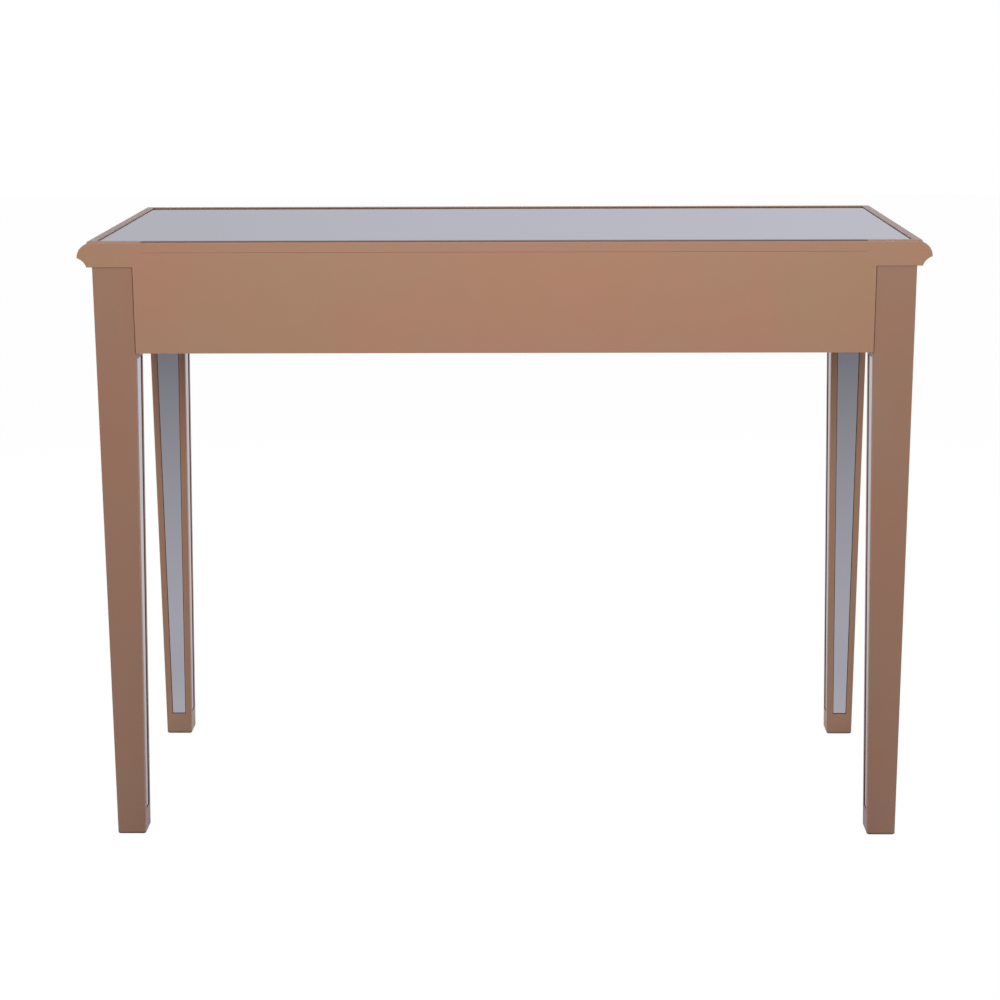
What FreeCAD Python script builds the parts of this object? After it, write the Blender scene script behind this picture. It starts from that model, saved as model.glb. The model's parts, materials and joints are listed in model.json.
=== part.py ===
"""Console vanity table: mirrored top in a moulded frame, tapered legs with mirror inlays, two drawers.

Millimetres.  The front faces -Y, left and right are as seen from the front, and +Z is up.
The origin is on the floor, at the centre of the table's plan.
"""
import FreeCAD, Part
import math
import os
import Sketcher
from collections import namedtuple

FRONT, BACK = -1, 1
LEFT, RIGHT = -1, 1
SIDE_NAMES = {LEFT: "left", RIGHT: "right"}
END_NAMES = {FRONT: "front", BACK: "back"}

doc = FreeCAD.newDocument("vanity_table")


# --- Sizes -----------------------------------------------------------------------------------------------------

def make_sheet(name, rows):
    """Fills a spreadsheet with one row for each (alias, content) and returns it."""
    sheet = doc.addObject("Spreadsheet::Sheet", name)
    for number, (alias, content) in enumerate(rows, start=1):
        sheet.set("A%d" % number, alias)
        sheet.set("B%d" % number, content)
        sheet.setAlias("B%d" % number, alias)
    doc.recompute()
    return sheet


dims = make_sheet("dims", [
    ("overall_width", "1067"),
    ("overall_depth", "457"),
    ("overall_height", "787"),
    # the moulded frame around the top
    ("moulding_height", "32"),
    ("moulding_reach", "13.3"),
    ("moulding_board", "67.6"),
    ("moulding_step_out", "1.4"),
    ("moulding_step_down", "3"),
    ("ovolo_drop", "17.5"),
    ("cove_drop", "10.5"),
    ("cove_out", "2"),
    ("cove_radius", "17"),
    ("rim_width", "10.5"),
    ("top_board_thickness", "14"),
    # glass
    ("top_glass", "4"),
    ("strip_glass", "3"),
    ("top_sink", "1.6"),
    ("glass_sink", "0.8"),
    ("glass_gap", "0.5"),
    ("strip_gap", "0.6"),
    # legs and aprons
    ("leg_inset", "5.2"),
    ("leg_head", "50.8"),
    ("leg_foot", "36.8"),
    ("leg_back_setback", "1"),
    ("leg_edge_round", "1.2"),
    ("foot_bevel", "2"),
    ("leg_frame", "8.8"),
    ("strip_lift", "32"),
    ("apron_height", "109"),
    ("apron_thickness", "18"),
    ("apron_setback", "2"),
    ("apron_frame", "12"),
    # front rails and what the drawers run on
    ("top_rail_height", "16"),
    ("bottom_rail_height", "18"),
    ("divider_width", "22"),
    ("runner_thickness", "14"),
    ("runner_bearing", "24"),
    ("guide_height", "20"),
    ("kicker_thickness", "14"),
    # drawers
    ("front_gap_side", "2"),
    ("front_gap_level", "1.5"),
    ("drawer_front_thickness", "18"),
    ("drawer_frame", "12"),
    ("drawer_box_inset", "2"),
    ("drawer_wall", "12"),
    ("drawer_rear_gap", "38"),
    ("drawer_headroom", "3"),
    ("drawer_bottom_thickness", "4"),
    ("drawer_bottom_lift", "8"),
    ("groove_depth", "5"),
    ("groove_gap", "0.1"),
    ("drawer_back_drop", "14"),
    ("guide_gap", "1"),
    ("stop_width", "40"),
    ("stop_thickness", "10"),
    ("stop_height", "34"),
    ("stop_clearance", "5"),
    # knobs
    ("knob_reach", "20"),
    ("knob_base_radius", "8"),
    ("knob_base_height", "2.5"),
    ("knob_neck_radius", "4.5"),
    ("knob_neck_top", "7"),
    ("knob_head_radius", "10"),
    ("knob_widest", "13.5"),
    ("knob_bore_depth", "12"),
    ("screw_radius", "2"),
    ("screw_fit", "0.05"),
    ("screw_hole_gap", "0.3"),
    ("screw_head_radius", "4.5"),
    ("screw_head_height", "2.5"),
    ("screw_engagement", "9"),
    ("glass_hole_gap", "1.5"),
    # dowels and corner bolts
    ("dowel_radius", "4"),
    ("dowel_length", "38"),
    ("dowel_fit", "0.05"),
    ("dowel_edge", "24"),
    ("block_waist", "14"),
    ("block_gap", "6.5"),
    ("bolt_radius", "4"),
    ("bolt_fit", "0.05"),
    ("bolt_in_leg", "28"),
    ("bolt_tail", "3"),
    ("washer_radius", "9"),
    ("washer_thickness", "1.6"),
    ("nut_radius", "7.5"),
    ("nut_height", "6.5"),
])

place = make_sheet("place", [
    ("half_width", "=dims.overall_width / 2"),
    ("half_depth", "=dims.overall_depth / 2"),
    ("rim_x", "=half_width - dims.moulding_reach"),
    ("rim_front", "=dims.moulding_reach - half_depth"),
    ("board_x", "=rim_x - dims.moulding_board"),
    ("board_front", "=rim_front + dims.moulding_board"),
    ("mitre_run", "=dims.moulding_reach + dims.moulding_board"),
    ("ovolo_out", "=dims.moulding_reach - dims.moulding_step_out"),
    ("ovolo_radius", "=(ovolo_out ^ 2 + dims.ovolo_drop ^ 2) / (2 * ovolo_out)"),
    ("frame_top", "=dims.overall_height - dims.moulding_height"),
    ("board_under", "=dims.overall_height - dims.top_board_thickness"),
    ("bed_depth", "=dims.top_glass + dims.top_sink"),
    ("bed_z", "=dims.overall_height - bed_depth"),
    ("bed_x", "=rim_x - dims.rim_width"),
    ("bed_front", "=rim_front + dims.rim_width"),
    ("bed_back", "=half_depth - dims.rim_width"),
    ("strip_recess", "=dims.strip_glass + dims.glass_sink"),
    ("leg_x", "=rim_x - dims.leg_inset"),
    ("leg_front", "=rim_front + dims.leg_inset"),
    ("leg_inner_x", "=leg_x - dims.leg_head"),
    ("leg_front_inner", "=leg_front + dims.leg_head"),
    ("leg_back", "=half_depth - dims.leg_back_setback"),
    ("leg_back_inner", "=leg_back - dims.leg_head"),
    ("knee_z", "=frame_top - dims.apron_height"),
    ("leg_taper", "=dims.leg_head - dims.leg_foot"),
    ("apron_x", "=leg_x - dims.apron_setback"),
    ("apron_inner_x", "=apron_x - dims.apron_thickness"),
    ("apron_back_inner", "=half_depth - dims.apron_thickness"),
    ("rail_front", "=leg_front + dims.apron_setback"),
    ("opening_low", "=knee_z + dims.bottom_rail_height"),
    ("opening_high", "=frame_top - dims.top_rail_height"),
    ("divider_x", "=dims.divider_width / 2"),
    ("front_near", "=divider_x + dims.front_gap_side"),
    ("front_far", "=leg_inner_x - dims.front_gap_side"),
    ("front_low", "=opening_low + dims.front_gap_level"),
    ("front_high", "=opening_high - dims.front_gap_level"),
    ("front_rear", "=rail_front + dims.drawer_front_thickness"),
    ("front_centre_x", "=(front_near + front_far) / 2"),
    ("front_centre_z", "=(front_low + front_high) / 2"),
    ("box_near", "=front_near + dims.drawer_box_inset"),
    ("box_far", "=front_far - dims.drawer_box_inset"),
    ("box_high", "=opening_high - dims.drawer_headroom"),
    ("box_rear", "=leg_back_inner - dims.drawer_rear_gap"),
    ("back_front", "=box_rear - dims.drawer_wall"),
    ("back_high", "=box_high - dims.drawer_back_drop"),
    ("bottom_low", "=opening_low + dims.drawer_bottom_lift"),
    ("bottom_high", "=bottom_low + dims.drawer_bottom_thickness"),
    ("bottom_near", "=box_near + dims.drawer_wall - dims.groove_depth"),
    ("bottom_far", "=box_far - dims.drawer_wall + dims.groove_depth"),
    ("bottom_front", "=front_rear - dims.groove_depth"),
    ("stop_high", "=frame_top - dims.stop_clearance"),
    ("guide_far", "=box_far + dims.guide_gap"),
    ("guide_near", "=box_near - dims.guide_gap"),
    ("runner_far_edge", "=box_far - dims.runner_bearing"),
    ("runner_near_edge", "=box_near + dims.runner_bearing"),
    ("block_face_sum", "=leg_inner_x + leg_back_inner - dims.block_waist * sqrt(2)"),
    ("guide_high", "=opening_low + dims.guide_height"),
    ("kicker_low", "=frame_top - dims.kicker_thickness"),
    ("block_low", "=guide_high + dims.block_gap"),
    ("block_high", "=kicker_low - dims.block_gap"),
    ("bolt_z", "=(block_low + block_high) / 2"),
    ("knob_crown", "=dims.knob_reach - dims.knob_widest"),
    ("knob_crown_radius", "=(dims.knob_head_radius ^ 2 + knob_crown ^ 2) / (2 * knob_crown)"),
])


def value(expression):
    """The number that an expression over the sheets has now."""
    result = dims.evalExpression(expression)
    return float(getattr(result, "Value", result))


# --- Modelling helpers -----------------------------------------------------------------------------------------

SUB_PARTS = []


def sub_part(kind, label):
    """A new object that is one node of the table."""
    part = doc.addObject(kind, label)
    part.Label = label
    SUB_PARTS.append(part)
    return part


def new_body(label):
    return sub_part("PartDesign::Body", label)


def plane_of(body, role):
    """One of the body's own origin planes."""
    return next(item for item in body.Origin.OriginFeatures if item.Role == role)


def bind(feature, **expressions):
    """Binds properties to expressions; a double underscore in a name stands for a dot."""
    for name, expression in expressions.items():
        feature.setExpression(name.replace("__", "."), expression)


def box_feature(body, kind, x_span, y_span, z_span):
    """An additive or subtractive box between pairs of coordinates."""
    feature = body.newObject("PartDesign::%sBox" % kind, body.Name + "_box")
    bind(feature, Length="(%s) - (%s)" % (x_span[1], x_span[0]),
         Width="(%s) - (%s)" % (y_span[1], y_span[0]),
         Height="(%s) - (%s)" % (z_span[1], z_span[0]),
         Placement__Base__x=x_span[0], Placement__Base__y=y_span[0], Placement__Base__z=z_span[0])
    doc.recompute()
    return feature


def span(side, low, high):
    """The span from low to high on the right side, or its mirror image on the left."""
    if side == RIGHT:
        return (low, high)
    return ("-(%s)" % high, "-(%s)" % low)


def board(label, x_span, y_span, z_span):
    """A plain rectangular piece."""
    body = new_body(label)
    box_feature(body, "Additive", x_span, y_span, z_span)
    return body


def cut_box(body, x_span, y_span, z_span):
    """A rectangular notch, groove or recess, which must remove material."""
    before = body.Shape.Volume
    box_feature(body, "Subtractive", x_span, y_span, z_span)
    check_cut(body, before)


def check_cut(body, before):
    if body.Shape.Volume > before - 0.1:
        raise RuntimeError("a cut in %s removed nothing" % body.Label)


AXIS_TURNS = {
    "x": FreeCAD.Rotation(FreeCAD.Vector(0, 1, 0), 90),
    "y": FreeCAD.Rotation(FreeCAD.Vector(1, 0, 0), -90),
    "z": FreeCAD.Rotation(),
}


def set_cylinder(feature, axis, start, radius, length):
    """Sizes and places a cylinder of any kind: start is its first centre, and it runs along +axis."""
    feature.Placement.Rotation = AXIS_TURNS[axis]
    bind(feature, Radius=radius, Height=length,
         Placement__Base__x=start[0], Placement__Base__y=start[1], Placement__Base__z=start[2])


def drill(body, axis, start, radius, length):
    """A round hole, which must remove material."""
    before = body.Shape.Volume
    feature = body.newObject("PartDesign::SubtractiveCylinder", body.Name + "_hole")
    set_cylinder(feature, axis, start, radius, length)
    doc.recompute()
    check_cut(body, before)


def arc_between(start, end, radius, side):
    """The arc from start to end with a radius, its centre to the left (1) or right (-1) of the way."""
    chord = end.sub(start)
    middle = start.add(end).multiply(0.5)
    height = math.sqrt(max(radius ** 2 - chord.Length ** 2 / 4, 0))
    normal = FreeCAD.Vector(-chord.y, chord.x, 0).normalize()
    centre = middle.add(normal.multiply(height * side))
    angles = [math.atan2(point.y - centre.y, point.x - centre.x) for point in (start, end)]
    if side < 0:
        angles.reverse()
    circle = Part.Circle(centre, FreeCAD.Vector(0, 0, 1), radius)
    return Part.ArcOfCircle(circle, angles[0], angles[1])


def draw_outline(sketch, corners, arcs=None):
    """Draws a closed outline whose corners are pairs of expressions.

    arcs maps the index of a corner to (radius expression, side) for the edge that leaves it.
    """
    arcs = arcs or {}
    points = [FreeCAD.Vector(value(x), value(y), 0) for x, y in corners]
    count = len(points)
    starts, ends = [], []
    for index, point in enumerate(points):
        following = points[(index + 1) % count]
        if index in arcs:
            radius, side = arcs[index]
            sketch.addGeometry(arc_between(point, following, value(radius), side))
            row = sketch.addConstraint(Sketcher.Constraint("Radius", index, value(radius)))
            sketch.setExpression("Constraints[%d]" % row, radius)
            starts.append(1 if side > 0 else 2)
            ends.append(2 if side > 0 else 1)
        else:
            sketch.addGeometry(Part.LineSegment(point, following))
            starts.append(1)
            ends.append(2)
    for index in range(count):
        following = (index + 1) % count
        sketch.addConstraint(
            Sketcher.Constraint("Coincident", index, ends[index], following, starts[following]))
    for index, (x, y) in enumerate(corners):
        for kind, expression in (("DistanceX", x), ("DistanceY", y)):
            row = sketch.addConstraint(Sketcher.Constraint(kind, index, starts[index], value(expression)))
            sketch.setExpression("Constraints[%d]" % row, expression)


def new_sketch(body, role, corners, arcs=None):
    """A closed outline on one of the body's origin planes."""
    sketch = body.newObject("Sketcher::SketchObject", body.Name + "_sketch")
    sketch.AttachmentSupport = [(plane_of(body, role), "")]
    sketch.MapMode = "FlatFace"
    draw_outline(sketch, corners, arcs)
    return sketch


def new_pad(body, sketch, length, reverse=False):
    pad = body.newObject("PartDesign::Pad", body.Name + "_pad")
    pad.Profile = sketch
    pad.Reversed = reverse
    bind(pad, Length=length)
    doc.recompute()
    return pad


def new_pocket(body, sketch, depth=None, reverse=False):
    """A pocket to a depth, or right through both ways when no depth is given."""
    before = body.Shape.Volume
    pocket = body.newObject("PartDesign::Pocket", body.Name + "_pocket")
    pocket.Profile = sketch
    if depth is None:
        pocket.Type = "ThroughAll"
        pocket.Midplane = True
    else:
        pocket.Reversed = reverse
        bind(pocket, Length=depth)
    doc.recompute()
    check_cut(body, before)


def revolve(body, sketch):
    """Turns the outline once around the sketch's vertical axis."""
    turned = body.newObject("PartDesign::Revolution", body.Name + "_turned")
    turned.Profile = sketch
    turned.ReferenceAxis = (sketch, ["V_Axis"])
    turned.Angle = 360
    doc.recompute()


# --- Dowels ----------------------------------------------------------------------------------------------------

Dowel = namedtuple("Dowel", "axis x y z")


def apron_dowel_heights():
    return ["place.knee_z + dims.dowel_edge", "place.frame_top - dims.dowel_edge"]


def back_apron_dowels(side):
    x = "%d * place.leg_inner_x" % side
    y = "place.half_depth - dims.apron_thickness / 2"
    return [Dowel("x", x, y, z) for z in apron_dowel_heights()]


def side_apron_dowels(side, end):
    x = "%d * (place.apron_x - dims.apron_thickness / 2)" % side
    y = "place.leg_front_inner" if end == FRONT else "place.leg_back_inner"
    return [Dowel("y", x, y, z) for z in apron_dowel_heights()]


def rail_dowels(side, z):
    x = "%d * place.leg_inner_x" % side
    depth = "(place.leg_front_inner - place.rail_front)"
    return [Dowel("x", x, "place.rail_front + %s * %s" % (depth, share), z) for share in ("0.3", "0.7")]


TOP_RAIL_Z = "place.frame_top - dims.top_rail_height / 2"
BOTTOM_RAIL_Z = "place.knee_z + dims.bottom_rail_height / 2"


def dowel_start(dowel, half):
    """The centre of a dowel's first end face, half a length back along its axis."""
    start = [dowel.x, dowel.y, dowel.z]
    row = "xyz".index(dowel.axis)
    start[row] = "%s - %s" % (start[row], half)
    return start


def drill_dowels(body, dowels):
    """A hole for each dowel, a little wider and longer than the dowel."""
    half = "(dims.dowel_length / 2 + dims.dowel_fit)"
    for dowel in dowels:
        drill(body, dowel.axis, dowel_start(dowel, half), "dims.dowel_radius + dims.dowel_fit", "2 * " + half)


def make_dowels(dowels):
    pieces = []
    for dowel in dowels:
        piece = doc.addObject("Part::Cylinder", "dowel")
        set_cylinder(piece, dowel.axis, dowel_start(dowel, "dims.dowel_length / 2"),
                     "dims.dowel_radius", "dims.dowel_length")
        pieces.append(piece)
    group = sub_part("Part::Compound", "dowels")
    group.Links = pieces


# --- Top -------------------------------------------------------------------------------------------------------

def make_moulding(label, length, mitred_start, mitred_end, start, turn, back_end=None):
    """A length of the top's frame: a rebated board with an ovolo and a cove along its outer edge.

    In its own frame the outer rim edge lies on the Y axis at the top, +X is outwards and it runs along -Y.
    The rebate stops at back_end, a pair of distances along Y, where the rim turns across the table's back.
    """
    body = new_body(label)
    ovolo_low = "-(dims.moulding_step_down + dims.ovolo_drop)"
    cove_low = "-(dims.moulding_step_down + dims.ovolo_drop + dims.cove_drop)"
    corners = [
        ("-dims.moulding_board", "-dims.moulding_height"),
        ("dims.cove_out", "-dims.moulding_height"),
        ("dims.cove_out", cove_low),
        ("dims.moulding_reach", ovolo_low),
        ("dims.moulding_step_out", "-dims.moulding_step_down"),
        ("0", "-dims.moulding_step_down"),
        ("0", "0"),
        ("-dims.rim_width", "0"),
        ("-dims.rim_width", "-place.bed_depth"),
        ("-dims.moulding_board", "-place.bed_depth"),
    ]
    arcs = {2: ("dims.cove_radius", -1), 3: ("place.ovolo_radius", 1)}
    profile = new_sketch(body, "XZ_Plane", corners, arcs)
    new_pad(body, profile, length)
    if back_end is not None:
        box_feature(body, "Additive", ("-dims.moulding_board", "-dims.rim_width"), back_end,
                    ("-place.bed_depth", "0"))
    run = "place.mitre_run"
    if mitred_start:
        waste = [("dims.moulding_reach", "0"), ("-dims.moulding_board", "-%s" % run),
                 ("-dims.moulding_board", "0")]
        new_pocket(body, new_sketch(body, "XY_Plane", waste))
    if mitred_end:
        far = "-(%s)" % length
        waste = [("dims.moulding_reach", far), ("-dims.moulding_board", "%s + %s" % (far, run)),
                 ("-dims.moulding_board", far)]
        new_pocket(body, new_sketch(body, "XY_Plane", waste))
    body.Placement.Rotation = FreeCAD.Rotation(FreeCAD.Vector(0, 0, 1), turn)
    bind(body, Placement__Base__x=start[0], Placement__Base__y=start[1], Placement__Base__z="dims.overall_height")
    return body


def make_top():
    make_moulding("moulding_right", "dims.overall_depth", False, True, ("place.rim_x", "place.half_depth"), 0,
                  back_end=("-dims.rim_width", "0"))
    make_moulding("moulding_left", "dims.overall_depth", True, False, ("-place.rim_x", "-place.half_depth"), 180,
                  back_end=("-dims.overall_depth", "dims.rim_width - dims.overall_depth"))
    make_moulding("moulding_front", "dims.overall_width", True, True, ("place.half_width", "place.rim_front"), -90)

    x_span = span(RIGHT, "-place.board_x", "place.board_x")
    panel = board("top_board", x_span, ("place.board_front", "place.half_depth"),
                  ("place.board_under", "dims.overall_height"))
    cut_box(panel, x_span, ("place.board_front", "place.bed_back"), ("place.bed_z", "dims.overall_height"))

    board("top_mirror", ("dims.glass_gap - place.bed_x", "place.bed_x - dims.glass_gap"),
          ("place.bed_front + dims.glass_gap", "place.bed_back - dims.glass_gap"),
          ("place.bed_z", "place.bed_z + dims.top_glass"))


# --- Legs ------------------------------------------------------------------------------------------------------

Leg = namedtuple("Leg", "side end x y")
Face = namedtuple("Face", "name role inner")
LEG_FACES = [
    Face("side_strip", "YZ_Plane", False),
    Face("end_strip", "XZ_Plane", False),
    Face("inner_side_strip", "YZ_Plane", True),
    Face("inner_end_strip", "XZ_Plane", True),
]


def leg_at(side, end):
    """A leg's signs and the coordinates of its outer corner."""
    y = "place.leg_front" if end == FRONT else "place.leg_back"
    return Leg(side, end, "%d * place.leg_x" % side, y)


def leg_square(leg, width):
    """The corners of the leg's square section, from its outer corner inwards."""
    far_x = "%s - %d * %s" % (leg.x, leg.side, width)
    far_y = "%s - %d * %s" % (leg.y, leg.end, width)
    return [(leg.x, leg.y), (far_x, leg.y), (far_x, far_y), (leg.x, far_y)]


def strip_outline(leg, face, gap):
    """The outline of a mirror strip or its recess: as wide as the leg less its painted edges."""
    if face.role == "YZ_Plane":
        edge, sign = leg.y, leg.end
    else:
        edge, sign = leg.x, leg.side
    border = "(dims.leg_frame + %s)" % gap
    low = "(dims.strip_lift + %s)" % gap
    slope = "(place.leg_taper / place.knee_z)"

    def across(distance):
        return "%s - %d * (%s)" % (edge, sign, distance)

    low_width = "dims.leg_foot + %s * %s - %s" % (slope, low, border)
    if face.inner:
        stretch = "sqrt(1 + %s ^ 2)" % slope
        high = "(place.knee_z - %s)" % border
        high_width = "dims.leg_foot + %s * %s - %s" % (slope, high, border)
        return [(across(border), "%s * %s" % (low, stretch)), (across(low_width), "%s * %s" % (low, stretch)),
                (across(high_width), "%s * %s" % (high, stretch)), (across(border), "%s * %s" % (high, stretch))]
    high = "place.frame_top - %s" % border
    head_width = "dims.leg_head - %s" % border
    return [(across(border), low), (across(low_width), low), (across(head_width), "place.knee_z"),
            (across(head_width), high), (across(border), high)]


def strip_sketch(body, leg, face, gap, depth):
    """A strip's outline on a leg face, or on a plane at a depth inside it; returns it and the inward sign."""
    sketch = new_sketch(body, face.role, strip_outline(leg, face, gap))
    if face.role == "YZ_Plane":
        corner, sign, normal = leg.x, leg.side, 1
    else:
        corner, sign, normal = leg.y, leg.end, -1
    inward = sign * normal if face.inner else -sign * normal
    lean = "atan(place.leg_taper / place.knee_z)"
    if face.inner:
        start = "%d * (%s - %d * dims.leg_foot)" % (normal, corner, sign)
        turn = -sign * normal
        sketch.AttachmentOffset.Rotation = FreeCAD.Rotation(FreeCAD.Vector(turn, 0, 0), 1)
        bind(sketch, AttachmentOffset__Rotation__Angle=lean,
             AttachmentOffset__Base__y="%d * %s * sin(%s)" % (-turn * inward, depth, lean),
             AttachmentOffset__Base__z="%s + %d * %s * cos(%s)" % (start, inward, depth, lean))
    else:
        start = "%d * (%s)" % (normal, corner)
        bind(sketch, AttachmentOffset__Base__z="%s + %d * %s" % (start, inward, depth))
    doc.recompute()
    return sketch, inward


def make_leg(side, end):
    """A leg, square in the apron and tapered on its two inner faces below it, with its mirror strips."""
    leg = leg_at(side, end)
    name = "leg_%s_%s" % (END_NAMES[end], SIDE_NAMES[side])
    body = new_body(name)
    foot = new_sketch(body, "XY_Plane", leg_square(leg, "dims.leg_foot"))
    knee = new_sketch(body, "XY_Plane", leg_square(leg, "dims.leg_head"))
    bind(knee, AttachmentOffset__Base__z="place.knee_z")
    loft = body.newObject("PartDesign::AdditiveLoft", name + "_shaft")
    loft.Profile = foot
    loft.Sections = [knee]
    loft.Ruled = True
    doc.recompute()
    new_pad(body, knee, "dims.apron_height")
    round_leg(body)

    faces = [face for face in LEG_FACES if end == FRONT or face.name != "end_strip"]
    for face in faces:
        sketch, inward = strip_sketch(body, leg, face, "0", "0")
        new_pocket(body, sketch, "place.strip_recess", reverse=inward > 0)
    drill_dowels(body, side_apron_dowels(side, end))
    if end == FRONT:
        drill_dowels(body, rail_dowels(side, TOP_RAIL_Z) + rail_dowels(side, BOTTOM_RAIL_Z))
    else:
        drill_dowels(body, back_apron_dowels(side))
        drill_bolt(body, side)
    for face in faces:
        make_strip("%s_%s" % (name, face.name), leg, face)


def round_leg(body):
    """Bevels the edges under the leg's foot, then eases its long edges."""
    dress_edges(body, "Chamfer", "Size", "dims.foot_bevel", lambda low, high: high < 0.001)
    dress_edges(body, "Fillet", "Radius", "dims.leg_edge_round", lambda low, high: high - low > 0.001)


def dress_edges(body, kind, size_name, size, wanted):
    """Bevels or rounds the edges whose lowest and highest points pass a test."""
    names = []
    for number, edge in enumerate(body.Shape.Edges, start=1):
        heights = sorted(vertex.Z for vertex in edge.Vertexes)
        if wanted(heights[0], heights[-1]):
            names.append("Edge%d" % number)
    base = body.Tip
    eased = body.newObject("PartDesign::" + kind, body.Name + "_eased")
    eased.Base = (base, names)
    eased.setExpression(size_name, size)
    doc.recompute()


def make_strip(label, leg, face):
    body = new_body(label)
    sketch, inward = strip_sketch(body, leg, face, "dims.strip_gap", "place.strip_recess")
    new_pad(body, sketch, "dims.strip_glass", reverse=inward > 0)


# --- Corner bolts ----------------------------------------------------------------------------------------------

def bolt_turn(side):
    """Turns +Z to the level direction from a back corner block out into its leg."""
    return FreeCAD.Rotation(FreeCAD.Vector(0, 0, 1), FreeCAD.Vector(side, 1, 0))


def bolt_point(side, run):
    """A point of the bolt's axis, a run outwards from the leg's inner corner."""
    return ("%d * (place.leg_inner_x + (%s) / sqrt(2))" % (side, run),
            "place.leg_back_inner + (%s) / sqrt(2)" % run, "place.bolt_z")


def on_bolt(feature, side, run, radius, length, radius_name="Radius"):
    feature.Placement.Rotation = bolt_turn(side)
    x, y, z = bolt_point(side, run)
    bind(feature, Height=length, Placement__Base__x=x, Placement__Base__y=y, Placement__Base__z=z)
    feature.setExpression(radius_name, radius)


BOLT_TAIL = "-(dims.block_waist + dims.washer_thickness + dims.nut_height + dims.bolt_tail)"
WASHER_RUN = "-(dims.block_waist + dims.washer_thickness)"
NUT_RUN = "-(dims.block_waist + dims.washer_thickness + dims.nut_height)"


def drill_bolt(body, side):
    before = body.Shape.Volume
    hole = body.newObject("PartDesign::SubtractiveCylinder", body.Name + "_bolt_hole")
    on_bolt(hole, side, BOLT_TAIL, "dims.bolt_radius + dims.bolt_fit",
            "dims.bolt_in_leg + dims.bolt_fit - %s" % BOLT_TAIL)
    doc.recompute()
    check_cut(body, before)


def make_corner_block(side):
    """A glue block across a back corner, drawn tight to the leg by a hanger bolt."""
    body = new_body("corner_block_%s" % SIDE_NAMES[side])
    right_side = [
        ("place.apron_inner_x", "place.block_face_sum - place.apron_inner_x"),
        ("place.apron_inner_x", "place.leg_back_inner"),
        ("place.leg_inner_x", "place.leg_back_inner"),
        ("place.leg_inner_x", "place.apron_back_inner"),
        ("place.block_face_sum - place.apron_back_inner", "place.apron_back_inner"),
    ]
    outline = new_sketch(body, "XY_Plane", [("%d * (%s)" % (side, x), y) for x, y in right_side])
    bind(outline, AttachmentOffset__Base__z="place.block_low")
    new_pad(body, outline, "place.block_high - place.block_low")
    drill_bolt(body, side)


def make_corner_bolts():
    bolts, nuts = [], []
    for side in (LEFT, RIGHT):
        make_corner_block(side)
        bolt = doc.addObject("Part::Cylinder", "hanger_bolt")
        on_bolt(bolt, side, BOLT_TAIL, "dims.bolt_radius", "dims.bolt_in_leg - %s" % BOLT_TAIL)
        bolts.append(bolt)
        nuts.append(make_ring("Part::Cylinder", "Radius", side, WASHER_RUN,
                              "dims.washer_radius", "dims.washer_thickness"))
        nuts.append(make_ring("Part::Prism", "Circumradius", side, NUT_RUN,
                              "dims.nut_radius", "dims.nut_height"))
    sub_part("Part::Compound", "hanger_bolts").Links = bolts
    sub_part("Part::Compound", "hanger_nuts").Links = nuts


def make_ring(kind, radius_name, side, run, radius, length):
    """A washer or a nut on a hanger bolt."""
    outside = doc.addObject(kind, "ring")
    on_bolt(outside, side, run, radius, length, radius_name)
    hole = doc.addObject("Part::Cylinder", "ring_hole")
    on_bolt(hole, side, run, "dims.bolt_radius + dims.bolt_fit", length)
    ring = doc.addObject("Part::Cut", "ring_cut")
    ring.Base = outside
    ring.Tool = hole
    return ring


# --- Aprons, rails and drawer supports -------------------------------------------------------------------------

def make_aprons():
    back = board("back_apron", ("-place.leg_inner_x", "place.leg_inner_x"),
                 ("place.apron_back_inner", "place.half_depth"), ("place.knee_z", "place.board_under"))
    for side in (LEFT, RIGHT):
        cut_box(back, span(side, "place.board_x", "place.leg_inner_x"),
                ("place.apron_back_inner", "place.half_depth"), ("place.frame_top", "place.board_under"))
        drill_dowels(back, back_apron_dowels(side))

    for side in (LEFT, RIGHT):
        y_span = ("place.leg_front_inner", "place.leg_back_inner")
        apron = board("side_apron_%s" % SIDE_NAMES[side], span(side, "place.apron_inner_x", "place.apron_x"),
                      y_span, ("place.knee_z", "place.frame_top"))
        depth = "place.apron_x - place.strip_recess"
        frame = "dims.apron_frame"
        cut_box(apron, span(side, depth, "place.apron_x"), framed(y_span, frame),
                framed(("place.knee_z", "place.frame_top"), frame))
        for end in (FRONT, BACK):
            drill_dowels(apron, side_apron_dowels(side, end))
        frame = "dims.apron_frame + dims.strip_gap"
        board("side_mirror_%s" % SIDE_NAMES[side], span(side, depth, depth + " + dims.strip_glass"),
              framed(y_span, frame), framed(("place.knee_z", "place.frame_top"), frame))


def framed(pair, border):
    """A span with a border taken off each end."""
    return ("%s + %s" % (pair[0], border), "%s - (%s)" % (pair[1], border))


def make_front_rails():
    x_span = ("-place.leg_inner_x", "place.leg_inner_x")
    y_span = ("place.rail_front", "place.leg_front_inner")
    top = board("front_top_rail", x_span, y_span, ("place.opening_high", "place.frame_top"))
    bottom = board("front_bottom_rail", x_span, y_span, ("place.knee_z", "place.opening_low"))
    for side in (LEFT, RIGHT):
        drill_dowels(top, rail_dowels(side, TOP_RAIL_Z))
        drill_dowels(bottom, rail_dowels(side, BOTTOM_RAIL_Z))
    board("centre_divider", ("-place.divider_x", "place.divider_x"), y_span,
          ("place.opening_low", "place.opening_high"))


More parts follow.
